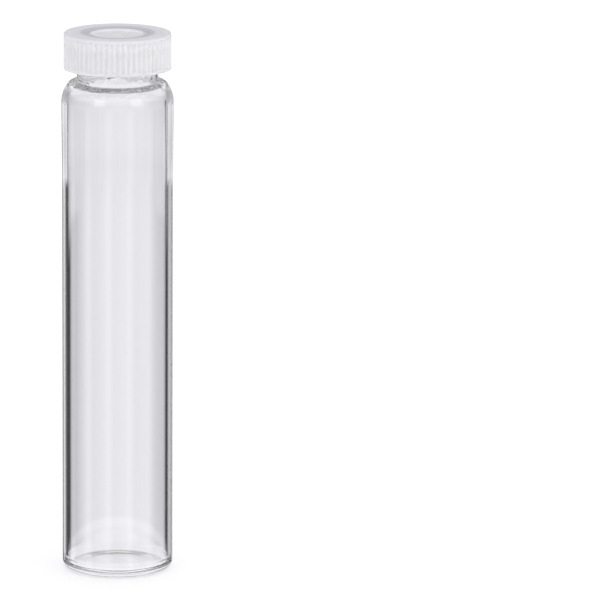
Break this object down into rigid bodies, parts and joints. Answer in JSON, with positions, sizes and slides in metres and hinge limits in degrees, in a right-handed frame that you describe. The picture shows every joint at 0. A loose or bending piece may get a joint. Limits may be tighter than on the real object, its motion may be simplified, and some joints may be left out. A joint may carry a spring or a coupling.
{
  "type": "glass sample vial",
  "caption": "Tall clear glass sample vial with a flat base, rounded shoulder and screw neck, closed by a ribbed translucent plastic screw cap with a plug seal.",
  "frame": {"origin": "middle of the base, on the plane that the vial stands on", "axes": "+Z along the axis of the vial, from the base to the cap"},
  "size_m": [0.0222, 0.0222, 0.109],
  "materials": {
    "glass": "clear, fire polished",
    "cap_plastic": "natural translucent, moulded"
  },
  "bodies": {
    "vial": {"glass_vial": "glass"},
    "cap": {"screw_cap": "cap_plastic"}
  },
  "joints": [
    {"name": "cap_lift", "type": "slide", "parent": "vial", "child": "cap", "axis": [0, 0, 1], "range_m": [0, 0.012]}
  ]
}
